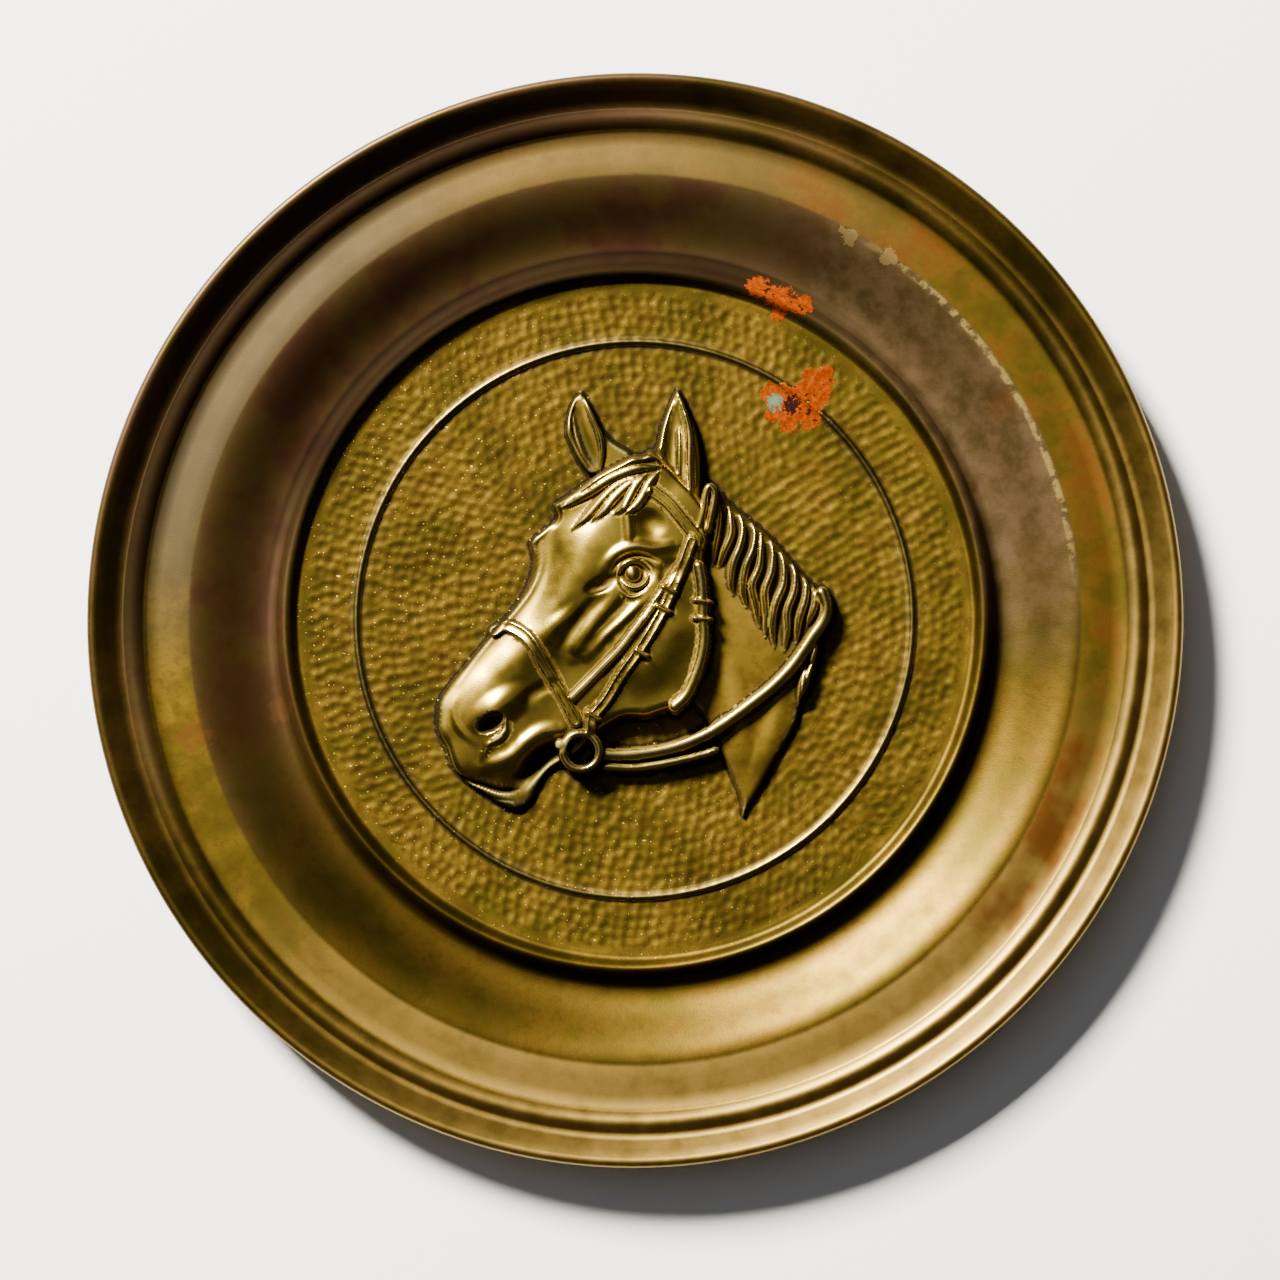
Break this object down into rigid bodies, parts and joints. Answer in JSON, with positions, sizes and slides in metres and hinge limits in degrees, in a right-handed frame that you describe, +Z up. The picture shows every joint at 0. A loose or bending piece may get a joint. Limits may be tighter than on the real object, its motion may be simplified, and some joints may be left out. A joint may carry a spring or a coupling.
{
  "type": "embossed brass plate",
  "caption": "Round pressed brass wall plate with a rolled rim, a hammered well, a raised ring and an embossed bridled horse head facing left.",
  "frame": {"origin": "centre of the flat foot ring, on the surface that the plate lies on", "axes": "+Z up through the plate, out of its decorated face; +Y towards the horse's ears; +X to the right as the face is viewed, so the head faces -X"},
  "size_m": [0.2998, 0.2998, 0.0168],
  "materials": {
    "aged_brass": "pressed and hammered sheet, aged, with copper-red corrosion spots"
  },
  "bodies": {
    "root": {"brass_plate": "aged_brass"}
  },
  "joints": []
}
